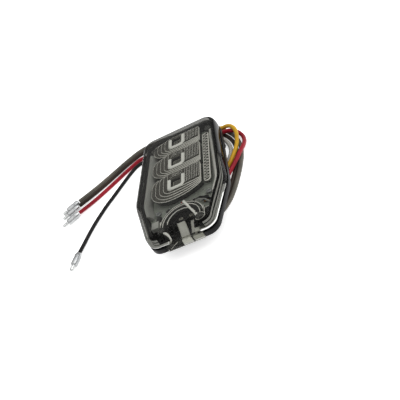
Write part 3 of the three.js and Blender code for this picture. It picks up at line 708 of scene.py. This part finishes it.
# ---- optics
def terrace_plan(cx, cy, share, near, far, right, shrink=0):
    """The plan of one terrace, anticlockwise: straight on the right and far sides, a broad
    sweep on the left, and a near side that climbs towards the right. share is 0 at the foot and
    1 at the plateau, and near, far and right are the foot's reach from the LED at (cx, cy)."""
    x0 = mix(cx - 18, cx - 6, share) + shrink
    y0 = mix(cy - near, cy - 6.2, share) + shrink
    x1 = cx + right - shrink * 0.4
    y1 = cy + far - shrink * 0.4
    near_right = mix(cy - min(near, 7.4), cy - 5.2, share) + shrink
    turn_x = mix(cx - 3.5, cx - 3, share)
    turn_y = mix(cy - 1.5, cy - 3.2, share)
    steps = 12
    points = [(x1, mix(near_right, y1, k / steps)) for k in range(steps)]
    far_left = mix(5.2, 1, share)
    points += [(mix(x1, x0 + far_left, k / steps), y1) for k in range(steps)]
    shoulder = mix(cy + 3, y1 - 1.2, share)
    for k in range(steps):
        a = 0.5 * math.pi * k / steps
        points.append((x0 + far_left * (1 - math.sin(a)), shoulder + (y1 - shoulder) * math.cos(a)))
    points += [(x0, mix(shoulder, turn_y, k / 4)) for k in range(4)]
    for k in range(2 * steps):
        a = 0.5 * math.pi * k / (2 * steps)
        points.append((turn_x - (turn_x - x0) * math.cos(a), turn_y - (turn_y - y0) * math.sin(a)))
    sweep_end = math.radians(62)
    for k in range(2 * steps):
        a = sweep_end * k / (2 * steps)
        points.append((
            turn_x + (x1 - turn_x) * math.sin(a) / math.sin(sweep_end),
            y0 + (near_right - y0) * (1 - math.cos(a)) / (1 - math.cos(sweep_end)),
        ))
    return points


def optic(place, near, far):
    """Nearly flat terraces, each with a painted highlight along its edge, that step up to the plateau
    with a U of painted highlight round the LED and a field of fine ribs between the LED and the
    strip. The foot walls and the pocket round the LED are painted shade."""
    node = "optic_" + place
    low, high = corner_mm(node)
    cx, cy, _ = (mix(a, b, 0.5) for a, b in zip(*corner_mm("main_led_" + place)))
    floor = low[2]
    tiers, lowest, plateau = 4, 19.4, high[2] - 0.5
    right = high[0] - cx - 0.1
    shape = Shape()
    rings, marks = [], []

    def level(share, shrink, z, mark):
        rings.append(at(terrace_plan(cx, cy, share, near, far, right, shrink), z))
        marks.append(mark)

    # The foot walls are painted shade.
    level(0, 1.2, floor, 2)
    level(0, 0, floor + 3, 2)
    for t in range(tiers + 1):
        share = t / tiers
        z = mix(lowest, plateau, share)
        level(share, 0, z - 0.35, 1)
        level(share, 0.24, z, 1)
        level(share, 0.36, z - 0.1, 0)
    pocket = 3.3
    # A square pocket round the LED, with as many points as the plateau's plan, its walls in painted shade.
    for half, z in ((pocket, plateau), (pocket - 0.15, floor + 2.2)):
        square = []
        for x, y in terrace_plan(cx, cy, 1, near, far, right):
            a = math.atan2((y - cy) * 1.5, x - cx - 4)
            reach = half / max(abs(math.cos(a)), abs(math.sin(a)))
            square.append((cx + reach * math.cos(a), cy + reach * math.sin(a), z))
        rings.append(square)
        marks.append(2)
    shape.stack(rings, marks=marks)
    # The U of painted highlight, open on the far side.
    arm, bend = pocket + 1, 2.2
    left_arm, right_arm = cx - arm, cx + arm + 0.6
    path = (
        [(left_arm, cy + 3.6), (left_arm, cy + 1.4)]
        + arc(left_arm + bend, cy - arm + 1.6, bend, 180, 270)
        + arc(right_arm - bend, cy - arm + 1.6, bend, 270, 360)
        + [(right_arm, cy + 1.4), (right_arm, cy + 4.6)]
    )
    section = [(-1.35, 0), (-0.95, 0.42), (0.5, 0.5), (1, 0.05), (0.8, -0.6), (-1.1, -0.6)]
    shape.sweep(at(path, plateau), section, 3)
    # Fine ribs to the right of the LED, each with a painted highlight along its crest and on both ends.
    first, last, ribs = cx + arm + 2.4, high[0] - 0.9, 9
    for k in range(ribs):
        x = mix(first, last, k / (ribs - 1))
        y0, y1 = cy - 4.6 + 0.1 * k, cy + min(9, far - 1)
        for a, b, mark in ((y0, y0 + 1.5, 3), (y0 + 1.5, y1 - 0.9, 1), (y1 - 0.9, y1, 3)):
            steps = max(1, round((b - a) / 0.9))
            path = [(x + 0.13 * (-1) ** n, mix(a, b, n / steps)) for n in range(steps + 1)]
            wide = 0.42 if mark == 3 else 0.26
            shape.sweep(at(path, plateau), bead(wide, 0.1, 0.42, -0.1), marks=[0, mark, 0, 0])
    # Small prisms in the far part of the plateau, with painted highlights along their crests.
    for k in range(6):
        y = cy + 5.4 + 0.7 * k
        if y > cy + far - 1:
            break
        path = [(cx - 3.8 + 0.3 * k, y), (cx + 4.6, y + 0.2)]
        shape.sweep(at(path, plateau), bead(0.26, 0.06, 0.26, -0.1), marks=[0, 1, 0, 0])
    looks = [OPTIC, EDGE_PAINTED_HIGHLIGHT, OPTIC_PAINTED_SHADE, PAINTED_HIGHLIGHT]
    make("optic_" + place + "_terraced", shape, looks, [node])


optic("near", 13.6, 10.2)
optic("middle", 10.3, 10.2)
optic("far", 10.3, 6)


def ribbed_strip():
    """The long clear strip: two legs, a rounded rim with a painted highlight and a crystalline row of
    crossed ribs with painted highlights along their crests.
    """
    low, high = corner_mm("light_strip")
    (x0, y0, _), (x1, y1, crest) = low, high
    middle, bottom = mix(x0, x1, 0.5), 16.6
    shape = Shape()
    levels = [
        (0, bottom, 0), (0, crest - 0.9, 0), (0.12, crest - 0.55, 1), (0.55, crest - 0.45, 1),
        (0.8, crest - 0.7, 0),
    ]
    shape.stack(
        [
            at(round_rectangle(x0 + i, y0 + i, x1 - i, y1 - i, 1.2, 2.2 - i * 0.8), z)
            for i, z, _ in levels
        ],
        marks=[mark for _, _, mark in levels[1:]],
    )
    for k, y in enumerate(stations(y0 + 1.9, y1 - 1.2, 1.45)):
        lean = 0.42 * (-1) ** k
        path = [(x0 + 0.85, y - lean), (x1 - 0.85, y + lean)]
        shape.sweep(at(path, crest - 0.72), bead(0.5, 0.2, 0.62, -0.1), marks=[0, 1, 0, 0])
    for y in (y0 + 1.6, y1 - 2.8):
        shape.block(middle - 1.5, y, BOARD_TOP + 0.3, middle + 1.5, y + 2, bottom)
    make("ribbed_strip", shape, [OPTIC, EDGE_PAINTED_HIGHLIGHT], ["light_strip"], angle=30)


ribbed_strip()


# ---- parts on the board
def led(node, name):
    """An LED package: base, raised frame, sunk emitting face with bond rows, and end contacts."""
    (x0, y0, z0), (x1, y1, z1) = corner_mm(node)
    wide, tall = x1 - x0, z1 - z0
    rim = wide * 0.14
    body_top = z1 - tall * 0.12
    shape = Shape()
    levels = [
        (0.06 * wide, z0 + 0.02), (0, z0 + 0.2 * tall), (0, body_top - 0.1), (0.03 * wide, body_top),
        (rim, body_top), (rim * 1.35, body_top - 0.22),
    ]
    shape.stack(rounded_rings(x0, y0, x1, y1, levels, 0.3, 4), marks=[0, 0, 0, 0, 2, 1])
    inner, rows, size = rim * 1.7, 5, wide * 0.045
    for a in range(rows):
        for b in range(rows):
            x = mix(x0 + inner, x1 - inner, a / (rows - 1))
            y = mix(y0 + inner, y1 - inner, b / (rows - 1))
            mark = 2 + (a + b) % 2
            shape.block(x - size, y - size, body_top - 0.26, x + size, y + size, body_top - 0.12, mark)
    for x in (x0 - 0.02, x1 - 0.28):
        for share in (0.18, 0.62):
            y = mix(y0, y1, share)
            shape.block(x, y, z0, x + 0.3, y + wide * 0.2, z0 + 0.34 * tall, 3)
    make(name, shape, [PACKAGE, PHOSPHOR, CHIP, SILVER], [node], angle=30)


for place in ("near", "middle", "far"):
    led("main_led_" + place, "led_" + place)
for number in range(1, 5):
    led("side_led_%d" % number, "side_lamp_%d" % number)
for place in ("left", "right"):
    led("plate_led_" + place, "plate_lamp_" + place)


def leaded_part(node, name, leads):
    """A moulded package with bent leads on two sides and a pin-one dimple."""
    foot = 0.55
    (x0, y0, z0), (x1, y1, z1) = corner_mm(node)
    x0, x1 = x0 + foot, x1 - foot
    waist = mix(z0, z1, 0.5)
    shape = Shape()
    levels = [(0.18, z0 + 0.08), (0, waist), (0.16, z1 - 0.04), (0.26, z1)]
    shape.stack(rounded_rings(x0, y0, x1, y1, levels, 0.15, 3))
    shape.turned(x0 + 0.75, y1 - 0.75, [(0.3, z1 - 0.1), (0.3, z1 + 0.015)], 20, 1)
    for k in range(leads):
        y = mix(y0, y1, (k + 0.5) / leads)
        for x, way in ((x0, -1), (x1, 1)):
            path = [
                (x - way * 0.1, y, waist), (x + way * 0.2, y, waist), (x + way * 0.32, y, z0 + 0.1),
                (x + way * foot, y, z0 + 0.06),
            ]
            shape.sweep(path, [(-0.17, -0.05), (0.17, -0.05), (0.17, 0.05), (-0.17, 0.05)], 1)
    make(name, shape, [CHIP, SILVER], [node], angle=30)


def chip_resistor(node, name):
    """A small block resistor with metal end caps and a dark film on top."""
    (x0, y0, z0), (x1, y1, z1) = corner_mm(node)
    shape = Shape()
    shape.block(x0 + 0.04, y0 + 0.4, z0 + 0.03, x1 - 0.04, y1 - 0.4, z1 - 0.06, 1)
    shape.block(x0 + 0.14, y0 + 0.5, z1 - 0.08, x1 - 0.14, y1 - 0.5, z1, 0)
    shape.block(x0, y0, z0, x1, y0 + 0.45, z1 - 0.02, 2)
    shape.block(x0, y1 - 0.45, z0, x1, y1, z1 - 0.02, 2)
    make(name, shape, [CHIP, PACKAGE, SILVER], [node], bevel=0.05, angle=30)


def choke():
    """The inductor: a ferrite drum with its copper winding showing round the waist."""
    low, high = corner_mm("inductor")
    x, y = mix(low[0], high[0], 0.5), mix(low[1], high[1], 0.5)
    radius, z0, z1 = (high[0] - low[0]) / 2, low[2], high[2]
    shape = Shape()
    shape.turned(x, y, [
        (radius - 0.1, z0), (radius, z0 + 0.1), (radius, z0 + 0.35), (radius - 0.5, z0 + 0.45),
    ])
    shape.turned(x, y, [
        (radius - 0.5, z1 - 0.45), (radius, z1 - 0.4), (radius, z1 - 0.12), (radius - 0.15, z1), (0.9, z1),
        (0.7, z1 - 0.14),
    ])
    turns = 5
    half = (z1 - z0 - 1) / turns / 2
    for k in range(turns):
        z = mix(z0 + 0.5, z1 - 0.5, (k + 0.5) / turns)
        shape.turned(
            x, y,
            [(radius - 0.55, z - half), (radius - 0.3, z - half * 0.6), (radius - 0.22, z),
             (radius - 0.3, z + half * 0.6), (radius - 0.55, z + half)],
            32, 1,
        )
    make("choke", shape, [CHIP, BRASS], ["inductor"], angle=30)


leaded_part("driver_chip", "driver", 4)
leaded_part("protection_diode", "diode", 1)
for number in (1, 2, 3):
    chip_resistor("resistor_%d" % number, "chip_resistor_%d" % number)
choke()


def tracks():
    """Copper under the board's mask, as low ridges, with solder dots at the ends."""
    shape = Shape()
    z = BOARD_TOP
    routes = [
        [(-13.2, -25), (-11.9, -24.2), (-11.9, -21.7)], [(-13.2, -26), (-12.4, -27.6), (-12.4, -29.4)],
        [(-8, -21.7), (-6.2, -20.4), (2.4, -20.4), (4.3, -18.9)],
        [(4.3, -19.2), (4.3, -16), (6, -14.4), (13.6, -14.4)],
        [(7.5, -19.2), (7.5, -17), (8.4, -16), (15.4, -16)],
        [(10.7, -19.2), (10.7, -18), (11.4, -17.4), (17.4, -17.4)],
        [(10.7, -22.6), (12.4, -24.4), (13.2, -24.4)], [(17.9, -23.2), (20, -20.8), (20, -13)],
        [(-18.6, -24.6), (-20.2, -22.6), (-20.2, -4)], [(-18.6, -26), (-21.4, -23.4), (-21.4, 20)],
        [(-18.6, -27.6), (-22.4, -23.8), (-22.4, -8)], [(18.4, -26), (21.4, -22.6), (21.4, -6)],
    ]
    for route in routes:
        shape.sweep(at(route, z), bead(0.28, 0.22, 0.07, -0.02))
        for x, y in (route[0], route[-1]):
            shape.turned(x, y, [(0.5, z), (0.46, z + 0.1), (0.2, z + 0.2)], 20, 1)
    pads = [(-17, -14), (-14.6, -18.6), (-19, -17.4), (8.6, -27.4), (19.6, -31), (-9.4, -18.2), (12.6, -20.6)]
    for x, y in pads:
        shape.turned(x, y, [(0.62, z), (0.55, z + 0.1), (0.3, z + 0.16)], 20, 1)
    shape.block(-1.4, -19.2, z, 0.4, -18, z + 0.7, 2)
    make("board_tracks", shape, [TRACK, SILVER, WIRE_FINISH["red"]], angle=30)


tracks()


# ---- number-plate light
HOOD_FLOOR = 12.7
RAMP_FOOT = 13.35


def slanted_bar(place, top, end_x, width, tongue, plate=None):
    """A pale ramp that falls from the hood to the window, with fine teeth along its left side, and
    a tongue behind the pane, a painted highlight where no plate covers it. plate gives the sides of a
    grooved plate over the tongue."""
    node = "plate_light_bar_" + place
    near = corner_mm(node)[0][1]
    knee, floor, steps = near + 1.15, HOOD_FLOOR + 0.05, 14

    def ramp(s):
        """The ramp's middle, height and half width at share s of its length."""
        x, y, z = (mix(a, b, s) for a, b in zip(top, (end_x, knee, RAMP_FOOT)))
        return x, y, z - 0.35 * math.sin(math.pi * s), mix(width * 0.47, width * 0.5, s)

    rows = []
    for k in range(steps + 1):
        x, y, z, half = ramp(k / steps)
        side = [
            (-half, floor), (-half, z - 0.25), (0.25 - half, z), (0.7 - half, z + 0.04),
            (0.9 - half, z - 0.12),
        ]
        rows.append([(x + u, y, h) for u, h in side] + [(x - u, y, h) for u, h in reversed(side)])
    shape = Shape()
    shape.stack(rows)
    bottom = 10.35
    shape.stack([
        [(x, near, bottom), (x, knee, bottom), (x, knee, 13), (x, near + 0.3, 13.3), (x, near, 13.1)]
        for x in tongue
    ], mark=0 if plate else 2)
    if plate:
        grooved_plate(shape, plate)
    teeth = 11
    for k in range(teeth):
        x, y, z, half = ramp((k + 0.6) / (teeth + 1))
        x -= half
        shape.block(x - 0.1, y - 0.3, z - 0.5, x + 0.55, y + 0.18, z + 0.16, 1)
    make("slanted_bar_" + place, shape, [BAR, HOOD, PAINTED_HIGHLIGHT], [node], bevel=0.06)


def grooved_plate(shape, sides):
    """Two leaning bands over the right tongue, with a toothed dark edge and a peg on their left."""
    left, foot, height = sides[0], 14.5, 2.6
    for z0, z1 in ((foot, 15.7), (15.8, 17.1)):
        share = (z0 - foot) / height
        back, front, lean = mix(-47, -46.85, share), mix(-47.5, -47.35, share), (z0 - foot) * 0.25
        section = [(front, z0), (back, z0), (back + 0.1, z1), (front + 0.1, z1)]
        shape.stack([[(x + lean, y, z) for y, z in section] for x in sides])
    for k in range(5):
        x, z = left + 0.1 * k, foot + 0.1 + 0.5 * k
        shape.block(x - 0.35, -47.45, z, x + 0.1, -47, z + 0.25, k % 2)
    shape.block(4.4, -47.3, 13.5, left - 0.7, -47, 14.6, 1)
    shape.turned(left - 0.3, -47.2, [(0.3, 13.5), (0.42, 13.7), (0.3, 14.1)], 16)


def pane_line():
    """The slanting moulded edge inside the window, left of the bars, as a painted highlight line on a dark
    backing.
    """
    y = corner_mm("plate_window")[1][1]
    shape = Shape()
    shape.stack([
        [(x - 0.18, y, z), (x + 0.18, y, z), (x + 0.1, y + 0.25, z), (x - 0.1, y + 0.25, z)]
        for x, z in ((-10.4, 10.6), (-4.3, 13.9))
    ])
    for x0, x1 in ((-11.6, -2.2), (4.1, 4.8)):
        shape.block(x0, y + 0.3, 9.3, x1, y + 0.7, 13.9, 1)
    make("pane_line", shape, [EDGE_PAINTED_HIGHLIGHT, HOOD])


pane_line()
slanted_bar("left", (-2, -34.6, 14.9), 0.9, 5.7, (-1.9, 3.9))
slanted_bar("right", (5.9, -36.2, 14.4), 6.1, 4, (4.9, 11.4), (7.6, 13.2))


def arch(half_width, far_y, near_y, z):
    """A line round the hood: up its right side, over the far end and down the left."""
    bend = arc(0, far_y - half_width, half_width, 0, 180, 40)
    return at([(half_width, near_y)] + bend + [(-half_width, near_y)], z)


def hood_details():
    """Beads that outline the hood, the two inner ones painted highlight lines and the outer one clear
    with a painted highlight along its top, a painted highlight flash on its right, and steps inside it.
    """
    _, (half, far, crown) = corner_mm("plate_light_hood")
    shape = Shape()
    shape.sweep(arch(half - 0.45, far - 0.45, -36.5, crown), bead(0.24, 0.12, 0.32))
    shape.sweep(arch(half - 3.6, far - 3.6, -33.4, crown), bead(0.24, 0.12, 0.32))
    shape.sweep(arch(half + 1.5, far + 1.7, -30.5, BOARD_TOP), bead(0.35, 0.2, 2.4), marks=[1, 0, 1, 1])
    # A painted highlight flash.
    flash = [(1.6, 2.2), (4.6, -3.4), (8, -10.2), (10.6, -15.6)]
    shape.tube([(x, far + y, crown) for x, y in flash], [0.95, 0.8, 0.55, 0.3], 2)
    make("hood_beads", shape, [EDGE_PAINTED_HIGHLIGHT, POST_CLEAR, PAINTED_HIGHLIGHT])
    steps = Shape()
    for k in range(4):
        y = far - 6.4 - 1.3 * k
        steps.block(-5.2 + 0.5 * k, y, 14, 5.2 - 0.4 * k, y + 0.7, 14.9 + 0.35 * (k % 2))
    steps.block(-7.6, -36.6, 13.2, -5.6, -34.4, 15.6)
    make("hood_steps", steps, [HOOD], bevel=0.12)


def near_corner_details():
    """A hook-shaped painted highlight by the left post, the grey tabs beside it, the right post's ring
    and cap of painted highlight, and the curved walls and dark block behind that, the block's rim a
    painted highlight line."""
    shape = Shape()
    # The hook: a painted highlight along the near left corner, drawn as a thin bright tube.
    hook = [
        (-11, -42.2, 17.9), (-9.6, -43.4, 18.1), (-8.4, -44.9, 18), (-7.6, -46.2, 17.5),
        (-7.3, -47, 16.6), (-7.6, -47.1, 15.4), (-8.4, -47.1, 14.3), (-9.8, -47.1, 13.6),
        (-11.8, -47, 13.3), (-14.4, -46.6, 13.3), (-17, -45.4, 13.4), (-19, -43.8, 13.5),
    ]
    shape.tube(hook, [0.7, 0.95, 0.8, 0.6, 0.55, 0.55, 0.55, 0.55, 0.5, 0.45, 0.4, 0.3], 2)
    shape.block(-20.4, -33.8, HOOD_FLOOR + 1.4, -15.6, -28, 16.8, 1)
    shape.block(-18.8, -43.6, HOOD_FLOOR + 0.2, -15.7, -39.8, 15.6, 1)
    post_x, post_y = 12.4, -40.2
    # The right post's ring and cap are painted highlights.
    shape.sweep(at(arc(post_x, post_y, 2.9, 200, 520, 26), 18.4), bead(0.22, 0.1, 0.3))
    shape.turned(post_x - 2.3, post_y + 2.6, [(0.45, 18.2), (0.9, 18.5), (0.95, 18.9), (0.55, 19.3)], 24, 2)
    wall = [(9.5, -23.4), (12.6, -22.6), (16.2, -24.4), (19.8, -28.2), (22.2, -32.4)]
    shape.sweep(at(wall, 16.2), bead(0.35, 0.2, 1.6), 3)
    shape.sweep([(x - 1.2, y - 1.4, 16.2) for x, y in wall], bead(0.3, 0.2, 1.4), 1)
    x, y, z = 16.2, -35.4, 16.6
    shape.block(x - 1.5, y - 2.6, HOOD_FLOOR + 2.2, x + 1.5, y + 2.6, z, 3)
    rim = [(x + 1.75 * u, y + 2.9 * v, z) for u, v in ((-1, -1), (-1, 1), (1, 1), (1, -1))]
    shape.sweep(rim, bead(0.28, 0.22, 0.15, -0.6))
    make("corner_fittings", shape, [EDGE_PAINTED_HIGHLIGHT, TAB, PAINTED_HIGHLIGHT, HOOD], bevel=0.1)


hood_details()
near_corner_details()


# ---- cable outlet and inserts
def cable_outlet():
    """The rubber grommet: a flange, a ribbed nose and a collar round each wire."""
    (_, near, z0), (x1, far, z1) = corner_mm("cable_grommet")
    levels = [(1.1, near), (0.9, near + 0.3)]
    for k in range(3):
        y = near + 0.5 + 0.75 * k
        levels += [(1.15, y), (1.15, y + 0.3), (0.8, y + 0.4), (0.8, y + 0.7)]
    levels += [(0.15, near + 2.75), (0, near + 2.95), (0, near + 5), (0.12, near + 5.2)]
    rows = []
    for inset, y in levels:
        plan = round_rectangle(-x1 + inset, z0 + inset * 0.4, x1 - inset, z1 - inset * 0.4, 1.2, 1.2, 6)
        rows.append([(x, y, z) for x, z in plan])
    shape = Shape()
    shape.stack(rows)
    shape.block(-4.3, near + 4.6, 3.2, 4.3, far, 7.3)
    collar = [(1.62, near + 0.2), (1.62, near), (1.45, near), (1.4, near + 0.2)]
    for route in ROUTES.values():
        x, _, z = (v / MM for v in route[0])
        rings = [[(x + u, y, z + v) for u, v in circle(radius, 24)] for radius, y in collar]
        shape.stack(rings, closed_loop=True)
    make("cable_outlet", shape, [GROMMET], ["cable_grommet"], bevel=0.06)


def threaded_sleeve(number):
    """A brass insert: a flanged sleeve with thread grooves in its bore."""
    node = "threaded_insert_%d" % number
    low, high = corner_mm(node)
    x, y = mix(low[0], high[0], 0.5), mix(low[1], high[1], 0.5)
    radius, z0, z1 = (high[0] - low[0]) / 2, low[2], high[2]
    crest, root, chamfer, grooves = 2.08, 2.36, 0.4, 14
    section = [(radius - 0.15, z0), (radius, z0 + 0.15), (radius, z1 - 0.1), (radius - 0.1, z1)]
    for k in range(grooves):
        z = mix(z1, z0 + chamfer, k / grooves)
        section += [(crest, z), (root, z - 0.5 * (z1 - z0 - chamfer) / grooves)]
    section += [(crest, z0 + chamfer), (crest + 0.32, z0)]
    shape = Shape()
    shape.stack([[(x + u, y + v, z) for u, v in circle(r, 48)] for r, z in section], closed_loop=True)
    make("threaded_sleeve_%d" % number, shape, [BRASS], [node], angle=25)


cable_outlet()
threaded_sleeve(1)
threaded_sleeve(2)


# ---- floor and light
def sun(name, place, angle, power):
    """A soft lamp that shines from place towards the unit; angle is its width in degrees."""
    data = bpy.data.lights.new(name, "SUN")
    data.angle = math.radians(angle)
    data.energy = power
    lamp = add_object(name, data)
    lamp.location = place
    lamp.rotation_mode = "QUATERNION"
    lamp.rotation_quaternion = (Vector((0, 0, 0.015)) - Vector(place)).to_track_quat("-Z", "Y")


def studio():
    """A pale floor, a bright even surround and two large soft lamps."""
    half, white = 3, (1, 1, 1, 1)
    mesh = bpy.data.meshes.new("floor")
    corners = [(-half, -half, 0), (half, -half, 0), (half, half, 0), (-half, half, 0)]
    mesh.from_pydata(corners, [], [(0, 1, 2, 3)])
    floor = add_object("floor", mesh)
    finish = Finish("floor_white")
    finish.feed(finish.shader, {
        "Base Color": (0.93, 0.93, 0.93, 1),
        "Roughness": 0.9,
        "Specular IOR Level": 0.1,
        "Emission Color": white,
        "Emission Strength": 0.55,
    })
    mesh.materials.append(finish.material)
    world = bpy.data.worlds.new("surround")
    bpy.context.scene.world = world
    world.use_nodes = True
    surround = world.node_tree.nodes["Background"]
    surround.inputs["Color"].default_value = white
    surround.inputs["Strength"].default_value = 0.5
    sun("overhead", (0.15, -0.1, 1), 100, 1.7)
    sun("side", (0.9, 0.2, 0.75), 40, 0.8)
    bpy.context.scene.view_settings.view_transform = "Standard"


studio()
